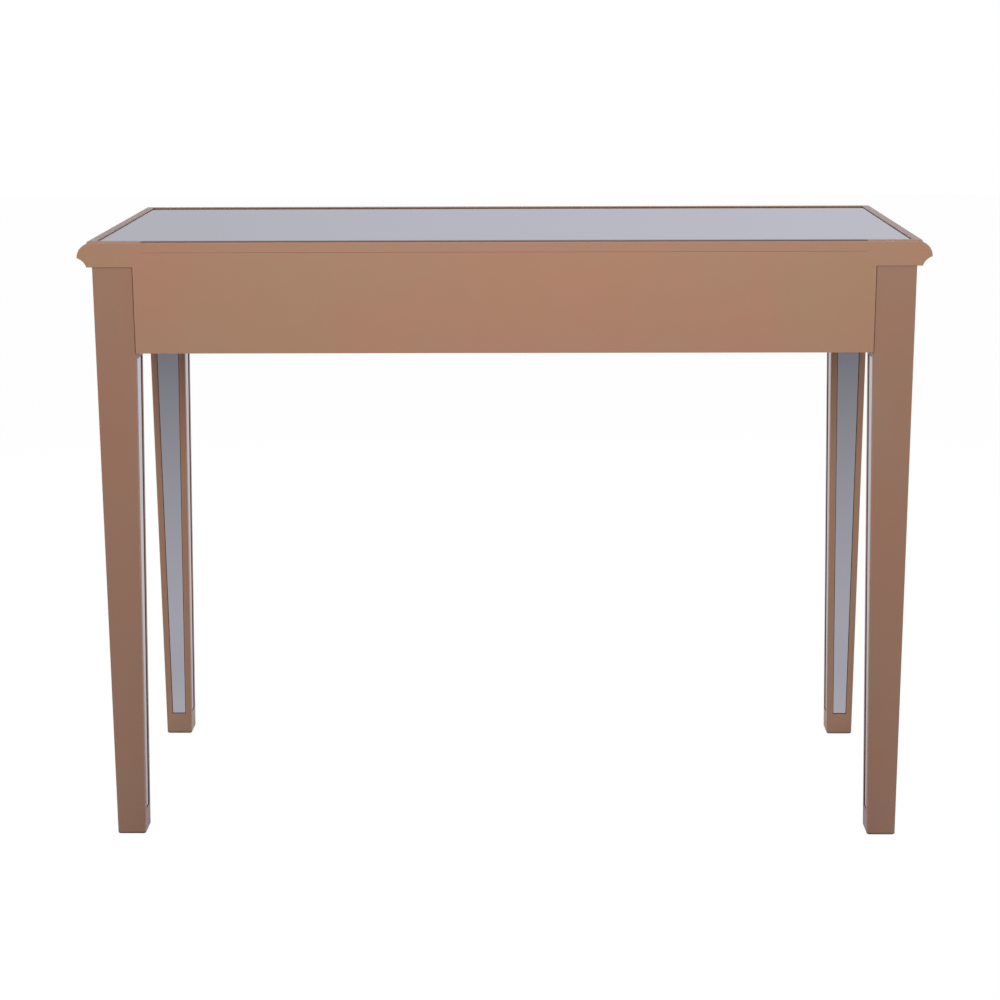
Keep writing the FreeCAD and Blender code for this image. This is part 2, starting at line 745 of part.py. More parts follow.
def make_drawer_supports():
    """Runners that carry the drawers, with guides beside them, and kickers that keep open drawers level."""
    side_y = ("place.leg_front_inner", "place.leg_back_inner")
    centre_y = ("place.leg_front_inner", "place.apron_back_inner")
    low = "place.opening_low - dims.runner_thickness"
    for side in (LEFT, RIGHT):
        runner = board("runner_%s" % SIDE_NAMES[side], span(side, "place.runner_far_edge", "place.apron_inner_x"),
                       side_y, (low, "place.guide_high"))
        cut_box(runner, span(side, "place.runner_far_edge", "place.guide_far"), side_y,
                ("place.opening_low", "place.guide_high"))
        board("kicker_%s" % SIDE_NAMES[side], span(side, "place.runner_far_edge", "place.apron_inner_x"),
              side_y, ("place.kicker_low", "place.frame_top"))

    centre_x = ("-place.runner_near_edge", "place.runner_near_edge")
    runner = board("runner_centre", centre_x, centre_y, (low, "place.guide_high"))
    for side in (LEFT, RIGHT):
        cut_box(runner, span(side, "place.guide_near", "place.runner_near_edge"), centre_y,
                ("place.opening_low", "place.guide_high"))
    board("kicker_centre", centre_x, ("place.board_front", "place.apron_back_inner"),
          ("place.kicker_low", "place.board_under"))


# --- Drawers ---------------------------------------------------------------------------------------------------

def make_drawer(side):
    name = "drawer_%s_" % SIDE_NAMES[side]
    centre = "%d * place.front_centre_x" % side
    bore = (centre, "place.rail_front", "place.front_centre_z")

    x_span = span(side, "place.front_near", "place.front_far")
    z_span = ("place.front_low", "place.front_high")
    front = board(name + "front", x_span, ("place.rail_front", "place.front_rear"), z_span)
    bed = "place.rail_front + place.strip_recess"
    frame = "dims.drawer_frame"
    cut_box(front, framed(x_span, frame), ("place.rail_front", bed), framed(z_span, frame))
    groove_z = ("place.bottom_low - dims.groove_gap", "place.bottom_high + dims.groove_gap")
    cut_box(front, span(side, "place.bottom_near - dims.groove_gap", "place.bottom_far + dims.groove_gap"),
            ("place.bottom_front - dims.groove_gap", "place.front_rear"), groove_z)
    drill(front, "y", bore, "dims.screw_radius + dims.screw_hole_gap", "dims.drawer_front_thickness")

    frame = "dims.drawer_frame + dims.strip_gap"
    glass = board(name + "mirror", framed(x_span, frame), (bed + " - dims.strip_glass", bed), framed(z_span, frame))
    drill(glass, "y", bore, "dims.screw_radius + dims.glass_hole_gap", "dims.drawer_front_thickness")

    walls = {"near": ("place.box_near", "place.box_near + dims.drawer_wall"),
             "far": ("place.box_far - dims.drawer_wall", "place.box_far")}
    for wall, (low, high) in walls.items():
        cheek = board(name + wall + "_side", span(side, low, high), ("place.front_rear", "place.box_rear"),
                      ("place.opening_low", "place.box_high"))
        cut_box(cheek, span(side, "place.bottom_near - dims.groove_gap", "place.bottom_far + dims.groove_gap"),
                ("place.front_rear", "place.box_rear"), groove_z)

    board(name + "bottom", span(side, "place.bottom_near", "place.bottom_far"),
          ("place.bottom_front", "place.box_rear"), ("place.bottom_low", "place.bottom_high"))
    board(name + "back", span(side, "place.box_near + dims.drawer_wall", "place.box_far - dims.drawer_wall"),
          ("place.back_front", "place.box_rear"), ("place.bottom_high", "place.back_high"))
    board(name + "stop", (centre + " - dims.stop_width / 2", centre + " + dims.stop_width / 2"),
          ("place.back_front - dims.stop_thickness", "place.back_front"),
          ("place.stop_high - dims.stop_height", "place.stop_high"))
    make_knob(name + "knob", centre)
    make_knob_screw(name + "knob_screw", centre)


def make_knob(label, centre):
    """A turned knob; in its own frame it stands on the XY plane and points up."""
    body = new_body(label)
    bore = "dims.screw_radius + dims.screw_fit"
    corners = [
        (bore, "0"),
        ("dims.knob_base_radius", "0"),
        ("dims.knob_base_radius", "dims.knob_base_height"),
        ("dims.knob_neck_radius", "dims.knob_neck_top"),
        ("dims.knob_head_radius", "dims.knob_widest"),
        ("0", "dims.knob_reach"),
        ("0", "dims.knob_bore_depth"),
        (bore, "dims.knob_bore_depth"),
    ]
    arcs = {2: ("1.5 * (dims.knob_neck_top - dims.knob_base_height)", -1),
            3: ("dims.knob_widest - dims.knob_neck_top + 1", 1),
            4: ("place.knob_crown_radius", 1)}
    revolve(body, new_sketch(body, "XZ_Plane", corners, arcs))
    body.Placement.Rotation = FreeCAD.Rotation(FreeCAD.Vector(1, 0, 0), 90)
    bind(body, Placement__Base__x=centre, Placement__Base__y="place.rail_front + dims.glass_sink",
         Placement__Base__z="place.front_centre_z")


def make_knob_screw(label, centre):
    body = new_body(label)
    reach = "(dims.drawer_front_thickness - dims.glass_sink + dims.screw_engagement)"
    for radius, start, length in (
            ("dims.screw_radius", "place.front_rear - %s" % reach, reach),
            ("dims.screw_head_radius", "place.front_rear", "dims.screw_head_height")):
        feature = body.newObject("PartDesign::AdditiveCylinder", label + "_turn")
        set_cylinder(feature, "y", (centre, start, "place.front_centre_z"), radius, length)
        doc.recompute()


# --- The whole table -------------------------------------------------------------------------------------------

make_top()
all_dowels = []
for side in (LEFT, RIGHT):
    for end in (FRONT, BACK):
        make_leg(side, end)
        all_dowels += side_apron_dowels(side, end)
    all_dowels += back_apron_dowels(side) + rail_dowels(side, TOP_RAIL_Z) + rail_dowels(side, BOTTOM_RAIL_Z)
make_dowels(all_dowels)
make_aprons()
make_front_rails()
make_drawer_supports()
make_corner_bolts()
for side in (LEFT, RIGHT):
    make_drawer(side)
doc.recompute()

failed = [item.Label for item in doc.Objects if {"Invalid", "Error"} & set(item.State)]
bad = [part.Label for part in SUB_PARTS if part.Shape.isNull() or not part.Shape.isValid()]
if failed or bad:
    raise RuntimeError("failed objects %s, bad shapes %s" % (failed, bad))

os.makedirs("parts", exist_ok=True)
for part in SUB_PARTS:
    part.Shape.exportStep("parts/%s.step" % part.Label)
print("%d sub-parts written" % len(SUB_PARTS))
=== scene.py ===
"""Looks of the console vanity table: satin metallic paint, mirror inlays, timber drawers and a plain studio.

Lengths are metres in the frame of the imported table: the front faces -Y, +X is to the right as seen from the
front, +Z is up and the origin is on the floor at the centre of the table's plan.
"""
import json
import logging
import math
from dataclasses import dataclass, field
from enum import Enum
from typing import Callable, Iterable, Optional

import bmesh
import bpy
from mathutils import Matrix, Vector

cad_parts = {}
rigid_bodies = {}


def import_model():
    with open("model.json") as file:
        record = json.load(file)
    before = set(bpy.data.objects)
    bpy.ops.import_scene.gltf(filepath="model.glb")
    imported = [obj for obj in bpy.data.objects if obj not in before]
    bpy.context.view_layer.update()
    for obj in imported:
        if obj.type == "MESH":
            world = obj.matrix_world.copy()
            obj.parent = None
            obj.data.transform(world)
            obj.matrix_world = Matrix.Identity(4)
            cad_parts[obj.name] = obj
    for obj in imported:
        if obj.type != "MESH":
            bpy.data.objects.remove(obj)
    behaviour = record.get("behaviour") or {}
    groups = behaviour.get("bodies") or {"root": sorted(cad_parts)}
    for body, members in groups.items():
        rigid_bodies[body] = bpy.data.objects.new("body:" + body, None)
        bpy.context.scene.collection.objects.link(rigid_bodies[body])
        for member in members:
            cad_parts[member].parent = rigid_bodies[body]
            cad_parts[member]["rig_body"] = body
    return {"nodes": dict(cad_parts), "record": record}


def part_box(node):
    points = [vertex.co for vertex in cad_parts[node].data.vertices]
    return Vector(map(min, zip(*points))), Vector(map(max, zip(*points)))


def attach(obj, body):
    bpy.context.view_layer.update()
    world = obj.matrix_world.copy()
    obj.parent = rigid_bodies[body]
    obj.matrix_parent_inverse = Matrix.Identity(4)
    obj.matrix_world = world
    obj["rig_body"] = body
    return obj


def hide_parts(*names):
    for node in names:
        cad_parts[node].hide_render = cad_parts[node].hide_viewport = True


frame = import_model()

LOG = logging.getLogger("vanity_table")
MM = 0.001
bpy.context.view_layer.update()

Colour = tuple[float, float, float]
WHITE: Colour = (1.0, 1.0, 1.0)


class Side(Enum):
    """The left and right of the table, as seen from its front, with the sign of X there."""

    LEFT = -1
    RIGHT = 1

    @property
    def word(self) -> str:
        """The side's word in the names of pieces."""
        return self.name.lower()


class End(Enum):
    """The front and back of the table, with the sign of Y there."""

    FRONT = -1
    BACK = 1

    @property
    def word(self) -> str:
        """The end's word in the names of pieces."""
        return self.name.lower()


# --- Shader helpers --------------------------------------------------------------------------------------------


class Nodes:
    """Short ways to add and join the nodes of one tree."""

    def __init__(self, tree: bpy.types.NodeTree) -> None:
        """Works on a tree.

        Args:
            tree: The node tree to fill.
        """
        self.tree = tree

    def add(self, kind: str, **inputs: object) -> bpy.types.Node:
        """Adds a node and sets or joins its inputs.

        Args:
            kind: The node's type, without the word ShaderNode.
            **inputs: Values or output sockets, by the input's name with underscores for spaces.

        Returns:
            The new node.
        """
        node = self.tree.nodes.new("ShaderNode" + kind)
        for name, content in inputs.items():
            self.set(node.inputs[name.replace("_", " ")], content)
        return node

    def set(self, socket: bpy.types.NodeSocket, content: object) -> None:
        """Joins an output to a socket, or sets the socket's own value.

        Args:
            socket: The input socket.
            content: An output socket, a number or a colour.
        """
        if isinstance(content, bpy.types.NodeSocket):
            self.tree.links.new(content, socket)
        elif isinstance(content, tuple) and len(content) == 3 and socket.type == "RGBA":
            socket.default_value = (*content, 1.0)
        else:
            socket.default_value = content

    def math(self, operation: str, first: object, second: object = 0.0, clamp: bool = False) -> bpy.types.NodeSocket:
        """Adds a Math node.

        Args:
            operation: The Math node's operation.
            first: The first value or socket.
            second: The second value or socket.
            clamp: Whether the result stays from 0 to 1.

        Returns:
            The node's output socket.
        """
        node = self.tree.nodes.new("ShaderNodeMath")
        node.operation = operation
        node.use_clamp = clamp
        self.set(node.inputs[0], first)
        self.set(node.inputs[1], second)
        return node.outputs[0]

    def blend(self, factor: object, first: object, second: object) -> bpy.types.NodeSocket:
        """Adds a colour Mix node.

        Args:
            factor: How much of the second colour shows.
            first: The first colour or socket.
            second: The second colour or socket.

        Returns:
            The mixed colour's socket.
        """
        node = self.tree.nodes.new("ShaderNodeMix")
        node.data_type = "RGBA"
        self.set(node.inputs["Factor"], factor)
        self.set(node.inputs[6], first)
        self.set(node.inputs[7], second)
        return node.outputs[2]

    def spread(self, content: object, low: object, high: object, to_low: float, to_high: float) -> bpy.types.NodeSocket:
        """Adds a Map Range node.

        Args:
            content: The value or socket to map.
            low: The value that gives to_low.
            high: The value that gives to_high.
            to_low: The result at low.
            to_high: The result at high.

        Returns:
            The mapped value's socket.
        """
        node = self.tree.nodes.new("ShaderNodeMapRange")
        for index, value in enumerate((content, low, high, to_low, to_high)):
            self.set(node.inputs[index], value)
        return node.outputs[0]


def make_group(name: str, inputs: dict[str, float], outputs: Iterable[str],
               fill: Callable[[Nodes, bpy.types.Node, bpy.types.Node], None]) -> bpy.types.NodeTree:
    """Makes a shader node group whose inputs and outputs are all numbers.

    Args:
        name: The group's name.
        inputs: The inputs' names and defaults.
        outputs: The outputs' names.
        fill: Adds the group's nodes between its input and output nodes.

    Returns:
        The group's tree.
    """
    tree = bpy.data.node_groups.new(name, "ShaderNodeTree")
    for title, default in inputs.items():
        socket = tree.interface.new_socket(name=title, in_out="INPUT", socket_type="NodeSocketFloat")
        socket.default_value = default
    for title in outputs:
        tree.interface.new_socket(name=title, in_out="OUTPUT", socket_type="NodeSocketFloat")
    fill(Nodes(tree), tree.nodes.new("NodeGroupInput"), tree.nodes.new("NodeGroupOutput"))
    return tree


def fill_mottle(nodes: Nodes, given: bpy.types.Node, result: bpy.types.Node) -> None:
    """Fills the group that lays soft clouds and fine grain over a surface.

    Args:
        nodes: The group's node helper.
        given: The group's input node.
        result: The group's output node.
    """
    place = nodes.add("TexCoord").outputs["Object"]
    clouds = nodes.add("TexNoise", Vector=place, Scale=given.outputs["Cloud Scale"], Detail=3.0, Roughness=0.55)
    grain = nodes.add("TexNoise", Vector=place, Scale=given.outputs["Grain Scale"], Detail=2.0, Roughness=0.6)
    nodes.set(result.inputs["Clouds"], nodes.spread(clouds.outputs[0], 0.3, 0.7, 0.0, 1.0))
    nodes.set(result.inputs["Grain"], nodes.spread(grain.outputs[0], 0.25, 0.75, 0.0, 1.0))


def fill_timber(nodes: Nodes, given: bpy.types.Node, result: bpy.types.Node) -> None:
    """Fills the group that draws long grain lines and pores along one axis.

    Args:
        nodes: The group's node helper.
        given: The group's input node.
        result: The group's output node.
    """
    place = nodes.add("TexCoord").outputs["Object"]
    squeeze = nodes.add("CombineXYZ", X=given.outputs["Along X"], Y=given.outputs["Along Y"],
                        Z=given.outputs["Along Z"])
    scaled = nodes.tree.nodes.new("ShaderNodeVectorMath")
    scaled.operation = "MULTIPLY"
    nodes.set(scaled.inputs[0], place)
    nodes.set(scaled.inputs[1], squeeze.outputs[0])
    rings = nodes.add("TexNoise", Vector=scaled.outputs[0], Scale=given.outputs["Ring Scale"], Detail=5.0,
                      Roughness=0.6, Distortion=0.6)
    pores = nodes.add("TexNoise", Vector=scaled.outputs[0], Scale=given.outputs["Pore Scale"], Detail=2.0)
    waves = nodes.math("SINE", nodes.math("MULTIPLY", rings.outputs[0], 38.0))
    nodes.set(result.inputs["Rings"], nodes.spread(waves, -1.0, 1.0, 0.0, 1.0))
    nodes.set(result.inputs["Pores"], nodes.spread(pores.outputs[0], 0.45, 0.7, 0.0, 1.0))


def fill_glaze(nodes: Nodes, given: bpy.types.Node, result: bpy.types.Node) -> None:
    """Fills the group that masks painted shade: joints, recesses and inner corners found by occlusion, and upward
    faces.

    Args:
        nodes: The group's node helper.
        given: The group's input node.
        result: The group's output node.
    """
    # Occlusion marks where shade falls in joints, recesses and inner corners: painted shade.
    corners = nodes.add("AmbientOcclusion", Distance=given.outputs["Reach"])
    corners.samples = 12
    joints = nodes.spread(corners.outputs["AO"], given.outputs["Open"], given.outputs["Closed"], 0.0, 1.0)
    # Upward faces are darkened as well: painted shade on the tops.
    facing = nodes.add("SeparateXYZ", Vector=nodes.add("NewGeometry").outputs["Normal"])
    tops = nodes.math("MULTIPLY", nodes.spread(facing.outputs["Z"], 0.25, 0.75, 0.0, 1.0), given.outputs["Tops"])
    nodes.set(result.inputs["Glaze"], nodes.math("MAXIMUM", joints, tops))


class Groups:
    """The node groups that more than one finish uses."""

    def __init__(self) -> None:
        """Makes every group once."""
        self.mottle = make_group("mottle", {"Cloud Scale": 9.0, "Grain Scale": 900.0}, ("Clouds", "Grain"), fill_mottle)
        self.timber = make_group(
            "timber_grain", {"Along X": 1.0, "Along Y": 1.0, "Along Z": 1.0, "Ring Scale": 3.0, "Pore Scale": 40.0},
            ("Rings", "Pores"), fill_timber)
        # The painted shade group: occlusion in joints and recesses, and darker upward faces.
        self.glaze = make_group("joint_glaze", {"Reach": 0.005, "Open": 0.92, "Closed": 0.5, "Tops": 0.0},
                                ("Glaze",), fill_glaze)


def place_group(nodes: Nodes, tree: bpy.types.NodeTree, **inputs: object) -> bpy.types.Node:
    """Places a node group in a material.

    Args:
        nodes: The material's node helper.
        tree: The group.
        **inputs: Its inputs, by name with underscores for spaces.

    Returns:
        The group node.
    """
    node = nodes.tree.nodes.new("ShaderNodeGroup")
    node.node_tree = tree
    for name, content in inputs.items():
        nodes.set(node.inputs[name.replace("_", " ")], content)
    return node


def new_material(name: str) -> tuple[bpy.types.Material, Nodes, bpy.types.Node]:
    """Makes a node material with one Principled shader.

    Args:
        name: The material's name.

    Returns:
        The material, its node helper and its Principled node.
    """
    material = bpy.data.materials.new(name)
    material.use_nodes = True
    nodes = Nodes(material.node_tree)
    shader = material.node_tree.nodes["Principled BSDF"]
    return material, nodes, shader


# --- Finishes --------------------------------------------------------------------------------------------------


@dataclass(frozen=True)
class SatinPaint:
    """Sprayed copper-champagne paint with a soft metallic sheen."""

    name: str = "champagne_paint"
    colour: Colour = (0.405, 0.240, 0.150)
    warm_colour: Colour = (0.435, 0.226, 0.145)
    # Colour of the painted shade laid into joints, recesses and upward faces.
    glaze_colour: Colour = (0.075, 0.030, 0.018)
    glazed_tops: float = 0.0
    metallic: float = 0.3
    roughness: tuple[float, float] = (0.38, 0.46)
    specular: float = 0.3
    coat: float = 0.7
    coat_roughness: float = 0.2
    peel_height: float = 0.00005

    def build(self, groups: Groups) -> bpy.types.Material:
        """Makes the paint's material.

        Args:
            groups: The shared node groups.

        Returns:
            The material.
        """
        material, nodes, shader = new_material(self.name)
        mottle = place_group(nodes, groups.mottle, Cloud_Scale=7.0, Grain_Scale=450.0)
        glaze = place_group(nodes, groups.glaze, Tops=self.glazed_tops)
        sprayed = nodes.blend(mottle.outputs["Clouds"], self.colour, self.warm_colour)
        # The paint darkens towards the painted shade colour where the mask finds joints, recesses or upward faces:
        # painted shade.
        nodes.set(shader.inputs["Base Color"], nodes.blend(glaze.outputs["Glaze"], sprayed, self.glaze_colour))
        nodes.set(shader.inputs["Roughness"], nodes.spread(mottle.outputs["Grain"], 0.0, 1.0, *self.roughness))
        bump = nodes.add("Bump", Height=mottle.outputs["Grain"], Distance=self.peel_height, Strength=0.1)
        nodes.set(shader.inputs["Normal"], bump.outputs[0])
        nodes.set(shader.inputs["Metallic"], self.metallic)
        nodes.set(shader.inputs["Specular IOR Level"], self.specular)
        nodes.set(shader.inputs["Coat Weight"], self.coat)
        nodes.set(shader.inputs["Coat Roughness"], self.coat_roughness)
        return material


@dataclass(frozen=True)
class SilveredGlass:
    """Mirror glass with a faint cool tint and barely visible haze."""

    name: str = "mirror_glass"
    colour: Colour = (0.90, 0.902, 0.915)
    hazy_colour: Colour = (0.88, 0.884, 0.895)
    roughness: tuple[float, float] = (0.03, 0.07)

    def build(self, groups: Groups) -> bpy.types.Material:
        """Makes the mirror's material.

        Args:
            groups: The shared node groups.

        Returns:
            The material.
        """
        material, nodes, shader = new_material(self.name)
        mottle = place_group(nodes, groups.mottle, Cloud_Scale=5.0, Grain_Scale=300.0)
        nodes.set(shader.inputs["Base Color"], nodes.blend(mottle.outputs["Clouds"], self.colour, self.hazy_colour))
        nodes.set(shader.inputs["Roughness"], nodes.spread(mottle.outputs["Clouds"], 0.0, 1.0, *self.roughness))
        nodes.set(shader.inputs["Metallic"], 1.0)
        return material


@dataclass(frozen=True)
class Timber:
    """Planed wood whose grain runs along one axis."""

    name: str
    colour: Colour
    dark_colour: Colour
    stretch: tuple[float, float, float]
    roughness: float = 0.55
    grain_height: float = 0.0003

    def build(self, groups: Groups) -> bpy.types.Material:
        """Makes the timber's material.

        Args:
            groups: The shared node groups.

        Returns:
            The material.
        """
        material, nodes, shader = new_material(self.name)
        along_x, along_y, along_z = self.stretch
        grain = place_group(nodes, groups.timber, Along_X=along_x, Along_Y=along_y, Along_Z=along_z,
                            Ring_Scale=7.0, Pore_Scale=160.0)
        rings = nodes.blend(nodes.math("MULTIPLY", grain.outputs["Rings"], 0.55), self.colour, self.dark_colour)
        colour = nodes.blend(nodes.math("MULTIPLY", grain.outputs["Pores"], 0.35), rings, self.dark_colour)
        nodes.set(shader.inputs["Base Color"], colour)
        bump = nodes.add("Bump", Height=grain.outputs["Pores"], Distance=self.grain_height, Strength=0.3)
        nodes.set(shader.inputs["Normal"], bump.outputs[0])
        nodes.set(shader.inputs["Roughness"], self.roughness)
        return material


@dataclass(frozen=True)
class PlainMetal:
    """Plated or polished metal."""

    name: str
    colour: Colour
    roughness: tuple[float, float]

    def build(self, groups: Groups) -> bpy.types.Material:
        """Makes the metal's material.

        Args:
            groups: The shared node groups.

        Returns:
            The material.
        """
        material, nodes, shader = new_material(self.name)
        mottle = place_group(nodes, groups.mottle, Cloud_Scale=60.0, Grain_Scale=2500.0)
        nodes.set(shader.inputs["Base Color"], self.colour)
        nodes.set(shader.inputs["Metallic"], 1.0)
        nodes.set(shader.inputs["Roughness"], nodes.spread(mottle.outputs["Clouds"], 0.0, 1.0, *self.roughness))
        return material


class Finishes:
    """Every material of the table, by the record's slot."""

    def __init__(self, groups: Groups) -> None:
        """Builds the materials.

        Args:
            groups: The shared node groups.
        """
        across = (0.35, 5.0, 5.0)
        along = (5.0, 0.35, 5.0)
        self.by_slot: dict[str, bpy.types.Material] = {
            "metallic_paint": SatinPaint().build(groups),
            "mirror_glass": SilveredGlass().build(groups),
            "bare_wood": Timber("bare_pine", (0.60, 0.42, 0.25), (0.42, 0.26, 0.13), along).build(groups),
            "drawer_wood": Timber("drawer_pine", (0.66, 0.48, 0.30), (0.50, 0.32, 0.17), along).build(groups),
            "drawer_panel": Timber("drawer_plywood", (0.58, 0.43, 0.28), (0.45, 0.31, 0.18), across).build(groups),
            "zinc_steel": PlainMetal("zinc_plate", (0.60, 0.61, 0.63), (0.28, 0.42)).build(groups),
            "polished_metal": PlainMetal("polished_nickel", (0.72, 0.70, 0.67), (0.08, 0.16)).build(groups),
        }
        # The back legs get a darker copy of the same paint, which stands in for the shade on them: painted shade.
        back_leg_shaded_copy = SatinPaint("back_leg_paint", colour=(0.345, 0.202, 0.137), warm_colour=(0.362, 0.189, 0.124),
                               specular=0.2, coat=0.5)
        # The top board and the mouldings get darker upward faces, fully on the board and partly on the mouldings:
        # painted shade on the tops.
        top_board_shaded_finish = SatinPaint("handled_top_paint", glazed_tops=1.0)
        rim_shaded_finish = SatinPaint("handled_rim_paint", glazed_tops=0.35)
        self.back_leg_paint = back_leg_shaded_copy.build(groups)
        self.top_board_paint = top_board_shaded_finish.build(groups)
        self.rim_paint = rim_shaded_finish.build(groups)
        self.slot_of = {item["node"]: item["material_slot"] for item in frame["record"]["subparts"]}

    def of(self, node: str) -> bpy.types.Material:
        """The material of a node: its slot's, but the back legs get a darker copy of the paint as painted shade, and
        the top board and mouldings get paint with painted shade on upward faces.
        """
        slot = self.slot_of[node]
        if slot == "metallic_paint" and node.startswith("leg_back_"):
            return self.back_leg_paint
        if node.startswith("moulding_"):
            return self.rim_paint
        return self.top_board_paint if node == "top_board" else self.by_slot[slot]


# --- Making pieces ---------------------------------------------------------------------------------------------


@dataclass(frozen=True)
class Plane:
    """A joint plane, on which edges stay sharp so that flush pieces meet without a line."""

    normal: tuple[float, float, float]
    offset: float

    def holds(self, point: Vector) -> bool:
        """Whether a point lies on the plane."""
        return abs(Vector(self.normal).dot(point) - self.offset) < 0.02 * MM


@dataclass(frozen=True)
class Easing:
    """How the sharp edges of a piece are rounded."""

    width: float
    segments: int = 3
    flush: tuple[Plane, ...] = ()
    worn: tuple[Plane, ...] = ()
    worn_width: float = 0.0

    @property
    def widest(self) -> float:
        """The width of the softest edge."""
        return max(self.width, self.worn_width)

    def weight(self, edge: bmesh.types.BMEdge) -> float:
        """How wide an edge is rounded, as a share of the widest.

        Args:
            edge: An edge between two faces.

        Returns:
            The share, which is 0 for inward, blunt and joint edges.
        """
        if not edge.is_convex or edge.calc_face_angle(0.0) < SHARP_ANGLE or lies_in(edge, self.flush):
            return 0.0
        return 1.0 if lies_in(edge, self.worn) else self.width / self.widest


def lies_in(edge: bmesh.types.BMEdge, planes: tuple[Plane, ...]) -> bool:
    """Whether both ends of an edge lie in one of the planes."""
    return any(all(plane.holds(vertex.co) for vertex in edge.verts) for plane in planes)


SHARP_ANGLE = math.radians(28)


def finish_node(node: str, finishes: Finishes, easing: Optional[Easing] = None) -> bpy.types.Object:
    """Dresses a CAD node, or makes a copy of it with eased edges that stands for it.

    Args:
        node: The CAD node.
        finishes: The table's materials.
        easing: How the edges are rounded, or None to show the CAD node itself.

    Returns:
        The object that shows.
    """
    source = frame["nodes"][node]
    material = finishes.of(node)
    if easing is None:
        source.data.materials.clear()
        source.data.materials.append(material)
        return source
    mesh = bpy.data.meshes.new(node + "_eased")
    work = bmesh.new()
    work.from_mesh(source.data)
    bmesh.ops.remove_doubles(work, verts=work.verts, dist=0.005 * MM)
    bmesh.ops.dissolve_limit(work, angle_limit=math.radians(0.3), verts=work.verts, edges=work.edges)
    weights = work.edges.layers.float.new("bevel_weight_edge")
    for edge in work.edges:
        if len(edge.link_faces) == 2:
            edge[weights] = easing.weight(edge)
    for face in work.faces:
        face.smooth = True
    work.to_mesh(mesh)
    work.free()
    mesh.set_sharp_from_angle(angle=SHARP_ANGLE)
    mesh.materials.append(material)
    piece = bpy.data.objects.new(node + "_eased", mesh)
    bpy.context.scene.collection.objects.link(piece)
    bevel = piece.modifiers.new("eased edges", "BEVEL")
    bevel.limit_method = "WEIGHT"
    bevel.width = easing.widest
    bevel.segments = easing.segments
    bevel.harden_normals = True
    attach(piece, source["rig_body"])
    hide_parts(node)
    return piece


@dataclass
class SubAssembly:
    """A group of nodes that are dressed alike."""

    finishes: Finishes
    pieces: list[bpy.types.Object] = field(default_factory=list)

    def dress(self, node: str, easing: Optional[Easing] = None) -> None:
        """Finishes one node and reports it.

        Args:
            node: The CAD node.
            easing: How its edges are rounded, or None to keep the node.
        """
        piece = finish_node(node, self.finishes, easing)
        self.pieces.append(piece)

    def build(self) -> None:
        """Makes and dresses every piece."""
        raise NotImplementedError


@dataclass
class TableTop(SubAssembly):
    """The moulded frame, the board between its sides and the mirror let into it."""

    edge: float = 0.9 * MM
    board_edge: float = 0.45 * MM
    worn_edge: float = 2.4 * MM
    glass_edge: float = 0.7 * MM

    def build(self) -> None:
        """Makes and dresses every piece."""
        low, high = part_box("top_board")
        inner = (Plane((1, 0, 0), high.x), Plane((1, 0, 0), low.x), Plane((0, 1, 0), low.y))
        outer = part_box("moulding_front")
        reach = outer[1].x + outer[0].y
        mitres = (Plane((1, 1, 0), reach), Plane((-1, 1, 0), reach))
        above_apron = (Plane((0, 1, -1), high.y - outer[0].z),)
        worn = (Plane((0, 1, 1), high.y + high.z),)
        for name in ("moulding_left", "moulding_right", "moulding_front"):
            self.dress(name, Easing(self.edge, 4, inner + mitres + above_apron, worn, self.worn_edge))
        self.dress("top_board", Easing(self.board_edge, 4, inner, worn, self.worn_edge))
        self.dress("top_mirror", Easing(self.glass_edge, segments=2))


@dataclass
class Legs(SubAssembly):
    """The four legs and the mirror strips let into their faces."""

    edge: float = 1.0 * MM
    glass_edge: float = 0.4 * MM

    def build(self) -> None:
        """Makes and dresses every piece."""
        for side in Side:
            for end in End:
                leg = f"leg_{end.word}_{side.word}"
                self.dress(leg, Easing(self.edge, segments=2))
                for strip in sorted(name for name in frame["nodes"] if name.startswith(leg + "_")):
                    self.dress(strip, Easing(self.glass_edge, segments=2))


@dataclass
class Aprons(SubAssembly):
    """The panels between the legs, the side mirrors and the front rails."""

    edge: float = 0.9 * MM
    glass_edge: float = 0.4 * MM

    def build(self) -> None:
        """Makes and dresses every piece."""
        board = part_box("top_board")
        frame_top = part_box("leg_back_right")[1].z
        flush = (Plane((1, 0, 0), board[0].x), Plane((1, 0, 0), board[1].x), Plane((0, 0, 1), frame_top))
        self.dress("back_apron", Easing(self.edge, flush=flush))
        for side in Side:
            self.dress(f"side_apron_{side.word}", Easing(self.edge))
            self.dress(f"side_mirror_{side.word}", Easing(self.glass_edge, segments=2))
        for name in ("front_top_rail", "front_bottom_rail", "centre_divider"):
            self.dress(name, Easing(self.edge))


@dataclass
class Supports(SubAssembly):
    """The runners, kickers, corner blocks, dowels and bolts inside the frame."""

    edge: float = 0.8 * MM

    def build(self) -> None:
        """Makes and dresses every piece."""
        for place in ("left", "centre", "right"):
            self.dress(f"runner_{place}", Easing(self.edge, segments=2))
            self.dress(f"kicker_{place}", Easing(self.edge, segments=2))
        for side in Side:
            self.dress(f"corner_block_{side.word}")
        for name in ("dowels", "hanger_bolts", "hanger_nuts"):
            self.dress(name)


@dataclass
class Drawers(SubAssembly):
    """The two drawers."""

    edge: float = 0.9 * MM
    glass_edge: float = 0.5 * MM

    def build(self) -> None:
        """Makes and dresses every piece."""
        for side in Side:
            stem = f"drawer_{side.word}_"
            self.dress(stem + "front", Easing(self.edge))
            self.dress(stem + "mirror", Easing(self.glass_edge, segments=2))
            for part in ("near_side", "far_side", "back", "bottom", "stop"):
                self.dress(stem + part, Easing(self.edge, segments=2))
            self.dress(stem + "knob")
            self.dress(stem + "knob_screw")


# --- Studio ----------------------------------------------------------------------------------------------------


